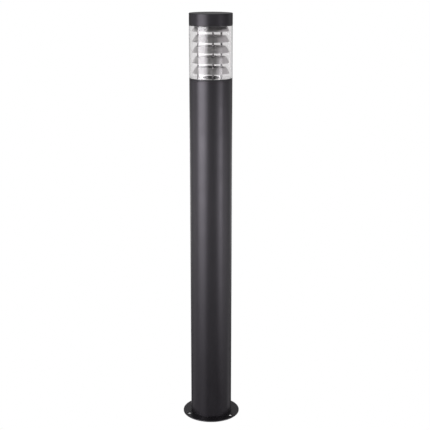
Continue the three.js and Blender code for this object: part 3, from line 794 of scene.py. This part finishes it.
def make_clamp():
    """The supply cable's saddle clamp: an arch between two feet."""
    node = "cable_clamp"
    lowest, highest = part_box(node)
    face = highest.y
    outer = CLAMP_BORE + CLAMP_STRAP
    middle = (0, face - CLAMP_RISE)
    foot = math.degrees(math.asin(CLAMP_STRAP / outer))
    mouth = math.degrees(math.asin(CLAMP_RISE / CLAMP_BORE))
    outline = [
        (lowest.x, face, 0.3 * MM),
        (lowest.x, face - CLAMP_STRAP, 0.6 * MM),
        *arc(middle, outer, 180 - foot, 360 + foot, steps=24),
        (highest.x, face - CLAMP_STRAP, 0.6 * MM),
        (highest.x, face, 0.3 * MM),
        *arc(middle, CLAMP_BORE, mouth, -180 - mouth, steps=24),
    ]
    clamp = extruded("saddle", outline, lowest.z, highest.z, edge=0.2 * MM)
    for screw in CLAMP_SCREWS:
        hole(clamp, SCREW_HOLE, (centre(screw).x, face, centre(screw).z), Y_AXIS)
    dress(clamp, "post", node, "white_plastic")


for screw_node, screw_axis in SCREW_AXES.items():
    make_screw(screw_node, screw_axis)
for rivet_node in RIVETS:
    make_rivet(rivet_node)
make_tray()
make_holder()
make_shell()
make_contact()
make_terminal_block()
for insert_node in INSERTS:
    make_insert(insert_node)
make_lamp_lead("live_lead", "brown_lead", INSERTS[0], side=-1)
make_lamp_lead("neutral_lead", "blue_lead", INSERTS[2], side=1)
make_earth_lead()
make_lug()
make_clamp()


# ---------------------------------------------------------------- head
HEIGHT = high("top_cap").z
CAP_RADIUS = radius("top_cap")
CAP_BOTTOM = low("top_cap").z
CAP_WALL = 3.5 * MM
CAP_TOP = 4 * MM
CAP_BOSS = 5 * MM
RING_THICKNESS = 2.7 * MM
RING_HOLE = 24 * MM
SPIGOT_RADIUS = POST_BORE - HAIR
SPIGOT_WALL = 4.2 * MM
GROOVE_HALF = 1.25 * MM
GROOVE_DEPTH = 2.25 * MM
O_RING_SECTION = 0.95 * MM
O_RING_SIDES = 16
DIFFUSER_RADIUS = radius("diffuser")
DIFFUSER_WALL = 3.2 * MM
DIFFUSER_BORE = DIFFUSER_RADIUS - DIFFUSER_WALL
GASKET_LIP = 0.4 * MM  # how far a gasket shows inside the clear cylinder
PLATE_HOLE = 20 * MM
LOUVRES = [f"louvre_{i}" for i in range(1, 6)]
LOUVRE_TOP_RADIUS = 35.4 * MM
LOUVRE_HOLE = 29.2 * MM
LOUVRE_SHEET = 0.8 * MM
LOUVRE_BULGE = 0.5 * MM
LOUVRE_STEPS = 10
RODS = [1, 2, 3]
LEVELS = [1, 2, 3, 4, 5]
ROD_RADIUS = 1.5 * MM
ROD_HOLE = ROD_RADIUS + HAIR / 2
SLEEVE_RADIUS = 2.2 * MM
NUT_ACROSS_FLATS = 5.5 * MM


def rod_place(rod):
    return centre(f"tie_rod_{rod}").xy


def make_cap():
    bore = CAP_RADIUS - CAP_WALL
    ceiling = HEIGHT - CAP_TOP
    cap = turned("cap", [
        (0, ceiling, 0),
        (bore, ceiling, 1.5 * MM),
        (bore, CAP_BOTTOM, 0.3 * MM),
        (CAP_RADIUS, CAP_BOTTOM, 0.4 * MM),
        (CAP_RADIUS, HEIGHT, 0.9 * MM),
        (0, HEIGHT, 0),
    ])
    boss = disc_outline(CAP_BOSS, high(LOUVRES[-1]).z + HAIR, ceiling + PAST, 0)
    for rod in RODS:
        boolean(cap, turned("boss", boss, FINE, rod_place(rod)), "UNION")
    dress(cap, "head", "top_cap", "powder_coat")


def make_ring():
    """The ring that carries the head, with its spigot and the groove for the O-ring."""
    node = "spigot_ring"
    outer = radius(node)
    bottom, top = low(node).z, high(node).z
    underside = top - RING_THICKNESS
    groove_floor = SPIGOT_RADIUS - GROOVE_DEPTH
    groove_bottom = centre("spigot_o_ring").z - GROOVE_HALF
    groove_top = centre("spigot_o_ring").z + GROOVE_HALF
    ring = turned("head_ring", [
        (RING_HOLE, underside, 0.3 * MM),
        (SPIGOT_RADIUS - SPIGOT_WALL, underside, 0.5 * MM),
        (SPIGOT_RADIUS - SPIGOT_WALL, bottom, 0.4 * MM),
        (SPIGOT_RADIUS, bottom, 0.8 * MM),
        (SPIGOT_RADIUS, groove_bottom, 0.1 * MM),
        (groove_floor, groove_bottom, 0.2 * MM),
        (groove_floor, groove_top, 0.2 * MM),
        (SPIGOT_RADIUS, groove_top, 0.1 * MM),
        (SPIGOT_RADIUS, underside, 0.2 * MM),
        (outer, underside, 0.3 * MM),
        (outer, top, 0.4 * MM),
        (RING_HOLE, top, 0.3 * MM),
    ])
    dress(ring, "head", node, "powder_coat")


def make_gasket(node):
    bottom, top = low(node).z - HAIR, high(node).z + HAIR
    outline = ring_outline(DIFFUSER_BORE - GASKET_LIP, radius(node), bottom, top, 0.2 * MM)
    dress(turned(f"{node}_ring", outline), "head", node, "seal_rubber")


def make_o_ring():
    node = "spigot_o_ring"
    middle = (radius(node) - O_RING_SECTION, centre(node).z)
    outline = arc(middle, O_RING_SECTION, 0, 360, O_RING_SIDES)[:-1]
    dress(turned("o_ring", outline), "head", node, "seal_rubber")


def make_diffuser():
    node = "diffuser"
    outline = ring_outline(DIFFUSER_BORE, DIFFUSER_RADIUS, low(node).z, high(node).z, 0.4 * MM)
    dress(turned("clear_cylinder", outline), "head", node, "clear_cylinder")


def make_plate():
    node = "reflector_plate"
    outline = ring_outline(PLATE_HOLE, radius(node), low(node).z - HAIR, high(node).z, 0.3 * MM)
    dress(turned("bright_plate", outline), "head", node, "bright_plate")


def louvre_outline(bottom, top):
    """A thin cone with a slightly convex side and a flat inward flange."""
    bottom_radius = radius(LOUVRES[0])
    narrowing = bottom_radius - LOUVRE_TOP_RADIUS
    height = top - bottom
    outer = []
    for k in range(LOUVRE_STEPS + 1):
        t = k / LOUVRE_STEPS
        swell = LOUVRE_BULGE * 4 * t * (1 - t)
        outer.append((bottom_radius - narrowing * t + swell, bottom + height * t))
    wall = LOUVRE_SHEET * math.hypot(narrowing, height) / height
    inner = [(x - wall, z) for x, z in outer if z < top - LOUVRE_SHEET]
    return [
        (*outer[0], 0.2 * MM),
        *((x, z, 0) for x, z in outer[1:-1]),
        (LOUVRE_TOP_RADIUS, top, 0.5 * MM),
        (LOUVRE_HOLE, top, 0.3 * MM),
        (LOUVRE_HOLE, top - LOUVRE_SHEET, 0.3 * MM),
        (LOUVRE_TOP_RADIUS - LOUVRE_SHEET / 2, top - LOUVRE_SHEET, 0),
        *((x, z, 0) for x, z in reversed(inner)),
    ]


def make_louvre(node):
    louvre = turned(f"{node}_ring", louvre_outline(low(node).z, high(node).z))
    dress(louvre, "head", node, "louvre_metal")


def make_rod(rod):
    node = f"tie_rod_{rod}"
    outline = disc_outline(ROD_RADIUS, low(node).z, high(node).z, 0.3 * MM)
    dress(turned(f"{node}_steel", outline, FINE, rod_place(rod)), "head", node, "rod_steel")


def make_sleeve(rod, level):
    node = f"sleeve_{rod}_{level}"
    bottom, top = low(node).z - HAIR, high(node).z + HAIR
    outline = ring_outline(ROD_HOLE, SLEEVE_RADIUS, bottom, top, 0.12 * MM)
    dress(turned(f"spacer_{rod}_{level}", outline, FINE, rod_place(rod)), "head", node, "rod_steel")


def make_nut(rod):
    """A hexagon nut with its corners turned off."""
    node = f"rod_nut_{rod}"
    place = rod_place(rod)
    bottom, top = low(node).z, high(node).z + HAIR
    corner = NUT_ACROSS_FLATS / math.sqrt(3)
    nut = turned(f"{node}_hexagon", disc_outline(corner, bottom, top, 0), HEXAGON, place)
    turned_off = disc_outline(corner, bottom, top, 0.5 * MM)
    boolean(nut, turned("cutter", turned_off, FINE, place), "INTERSECT")
    hole(nut, ROD_HOLE, (*place, bottom), Z_AXIS)
    dress(nut, "head", node, "rod_steel")


make_cap()
make_ring()
make_gasket("lower_gasket")
make_gasket("upper_gasket")
make_o_ring()
make_diffuser()
make_plate()
for louvre_node in LOUVRES:
    make_louvre(louvre_node)
for rod_number in RODS:
    make_rod(rod_number)
    for level_number in LEVELS:
        make_sleeve(rod_number, level_number)
for rod_number in RODS:
    make_nut(rod_number)


# ---------------------------------------------------------------- light and camera
LIGHT_TINT = (1.0, 0.975, 1.01)
PANEL_DISTANCE = 2.0  # from the post's axis
PANEL_BOTTOM = -1.3
PANEL_TOP = 1.3
BACK_PANEL_TOP = 0.5
FLOOR_REACH = 8.0
CAMERA_PLACE = (0.0097, -2.315, 1.125)
CAMERA_DOWN = 14.72  # degrees below level
CAMERA_LENS = 82.26  # focal length and sensor width are in millimetres
CAMERA_SENSOR = 36

# Stops are (share, brightness). The share runs up a panel, or across it towards a larger azimuth.
# In the world it runs from straight down to straight up, or from the front to the back.
BEHIND_CLEAR_PARTS = [(0.2, 0.12), (0.95, 0.78)]
MIRRORED_UPRIGHT = [(0.2, 0.05), (0.29, 0.05), (0.315, 0.12), (0.335, 0.36), (0.385, 3.0), (0.425, 0.82),
                    (0.445, 0.38), (0.47, 0.17), (0.6, 0.5), (0.8, 0.9), (1.0, 0.9)]
MIRRORED_BACKWARD = [(0.0, 1.0), (0.5, 0.85), (0.65, 0.65), (0.8, 0.35), (0.92, 0.42), (1.0, 0.72)]
LEFT_UPRIGHT = [(0.0, 0.05), (0.165, 0.068), (0.21, 0.072), (0.27, 0.082), (0.327, 0.115), (0.385, 0.25),
                (0.44, 0.40), (0.5, 0.55), (0.56, 0.75), (0.654, 1.05), (0.73, 0.86), (0.8, 0.86),
                (0.835, 1.0), (0.86, 0.9), (0.9, 0.0), (1.0, 0.0)]
LEFT_SIDEWAYS = [(0.0, 1.0), (0.57, 1.0), (0.8, 0.48), (0.9, 0.28), (1.0, 0.1)]
RIGHT_UPRIGHT = [(0.0, 0.0), (0.2, 0.04), (0.27, 0.08), (0.33, 0.23), (0.4, 0.6), (0.5, 1.08), (0.6, 1.2),
                 (0.66, 1.28), (0.7, 1.1), (0.74, 0.75), (0.77, 0.35), (0.8, 0.0), (1.0, 0.0)]
RIGHT_SIDEWAYS = [(0.0, 0.2), (0.35, 0.55), (0.65, 1.0), (1.0, 1.0)]
RIGHT_FILL_UPRIGHT = [(0.0, 0.1), (0.2, 0.25), (0.33, 0.55), (0.45, 1.0), (0.54, 1.07), (0.6, 1.08),
                      (0.65, 0.92), (0.72, 0.55), (0.78, 0.2), (1.0, 0.12)]
RIGHT_FILL_SIDEWAYS = [(0.0, 1.0), (0.6, 0.9), (1.0, 0.35)]
LEFT_FILL_UPRIGHT = [(0.0, 0.25), (0.165, 0.28), (0.21, 0.4), (0.27, 0.46), (0.33, 0.52), (0.385, 0.69),
                     (0.44, 0.86), (0.5, 0.88), (0.6, 1.0), (0.65, 1.0), (0.72, 0.8), (0.833, 0.45),
                     (1.0, 0.3)]
BACK_UPRIGHT = [(0.0, 0.2), (0.6, 0.5), (0.9, 1.0), (1.0, 0.0)]
EVEN = [(0.0, 1.0), (1.0, 1.0)]


def panel_mesh(name, middle, across, width, bottom, top):
    bm = bmesh.new()
    corners = ((-1, bottom), (1, bottom), (1, top), (-1, top))
    bm.faces.new([bm.verts.new(middle + across * side * width / 2 + Z_AXIS * z) for side, z in corners])
    return from_bmesh(name, bm)


def make_softbox(name, upright, sideways, azimuth, width, strength,
                 bottom=PANEL_BOTTOM, top=PANEL_TOP, through_glass=True):
    """An upright glowing panel that faces the post, hidden from the camera."""
    across = polar(1, azimuth + 90)
    panel = panel_mesh(name, polar(PANEL_DISTANCE, azimuth), across, width, bottom, top)
    s = Shader(f"{name}_glow")
    upright_share = s.spread(s.along(Z_AXIS), (bottom, top), WHOLE)
    sideways_share = s.spread(s.along(across), (-width / 2, width / 2), WHOLE)
    brightness = s.multiply(s.ramp(upright_share, upright), s.ramp(sideways_share, sideways))
    s.finish(s.glow("ShaderNodeEmission", LIGHT_TINT, s.multiply(brightness, strength)))
    panel.data.materials.append(s.material)
    panel.visible_camera = False
    panel.visible_transmission = through_glass


def make_floor():
    """A plain white floor that only the camera sees, and only from above."""
    bm = bmesh.new()
    bmesh.ops.create_grid(bm, x_segments=1, y_segments=1, size=FLOOR_REACH)
    floor = from_bmesh("floor", bm)
    floor.location.z = -HAIR
    s = Shader("floor_white")
    below = s.node("ShaderNodeNewGeometry").outputs["Backfacing"]
    s.finish(s.mix(below, s.glow("ShaderNodeEmission", WHITE, 1.0), s.clear(WHITE)))
    floor.data.materials.append(s.material)
    floor.visible_diffuse = False
    floor.visible_glossy = False
    floor.visible_transmission = False
    floor.visible_shadow = False


def make_world():
    """White to the camera. Surfaces mirror a bright band below the horizon, and clear parts a pale back."""
    world = bpy.data.worlds.new("studio")
    bpy.context.scene.world = world
    world.use_nodes = True
    s = Shader("studio", world.node_tree, "ShaderNodeOutputWorld")
    split = s.node("ShaderNodeSeparateXYZ")
    s.link(s.node("ShaderNodeTexCoord").outputs["Generated"], split.inputs["Vector"])
    backward = s.spread(split.outputs["Y"], (-1, 1), WHOLE)
    upward = s.spread(split.outputs["Z"], (-1, 1), WHOLE)
    behind = s.ramp(backward, BEHIND_CLEAR_PARTS)
    mirrored = s.multiply(s.ramp(upward, MIRRORED_UPRIGHT), s.ramp(backward, MIRRORED_BACKWARD))
    path = s.node("ShaderNodeLightPath").outputs
    kind = "ShaderNodeBackground"
    seen = s.mix(path["Is Transmission Ray"], s.glow(kind, WHITE, mirrored), s.glow(kind, WHITE, behind))
    s.finish(s.mix(path["Is Camera Ray"], seen, s.glow(kind, WHITE, 1.0)))


def make_camera():
    camera = new_object("camera", bpy.data.cameras.new("camera"))
    camera.location = CAMERA_PLACE
    camera.rotation_euler = (math.radians(90 - CAMERA_DOWN), 0, 0)
    camera.data.sensor_width = CAMERA_SENSOR
    camera.data.lens = CAMERA_LENS
    bpy.context.scene.camera = camera


make_softbox("left_softbox", LEFT_UPRIGHT, LEFT_SIDEWAYS, azimuth=-42.3, width=2.24, strength=9.2)
make_softbox("right_softbox", RIGHT_UPRIGHT, RIGHT_SIDEWAYS, azimuth=46, width=1.25, strength=5.6)
make_softbox("right_fill", RIGHT_FILL_UPRIGHT, RIGHT_FILL_SIDEWAYS, azimuth=80, width=2.0, strength=2.0)
make_softbox("left_fill", LEFT_FILL_UPRIGHT, EVEN, azimuth=-92, width=1.6, strength=1.6)
make_softbox("left_edge", EVEN, EVEN, azimuth=-122, width=0.6, strength=0.5)
make_softbox("right_edge", EVEN, EVEN, azimuth=118, width=1.0, strength=0.6)
make_softbox("high_right", EVEN, EVEN, azimuth=95, width=3.4, strength=0.78, bottom=1.4, top=3.6)
make_softbox("back_left", BACK_UPRIGHT, EVEN, azimuth=-166, width=0.8, strength=2.2,
             top=BACK_PANEL_TOP, through_glass=False)
make_softbox("back_right", BACK_UPRIGHT, EVEN, azimuth=164, width=0.4, strength=1.6,
             top=BACK_PANEL_TOP, through_glass=False)
make_floor()
make_world()
make_camera()
bpy.context.scene.view_settings.view_transform = "Standard"
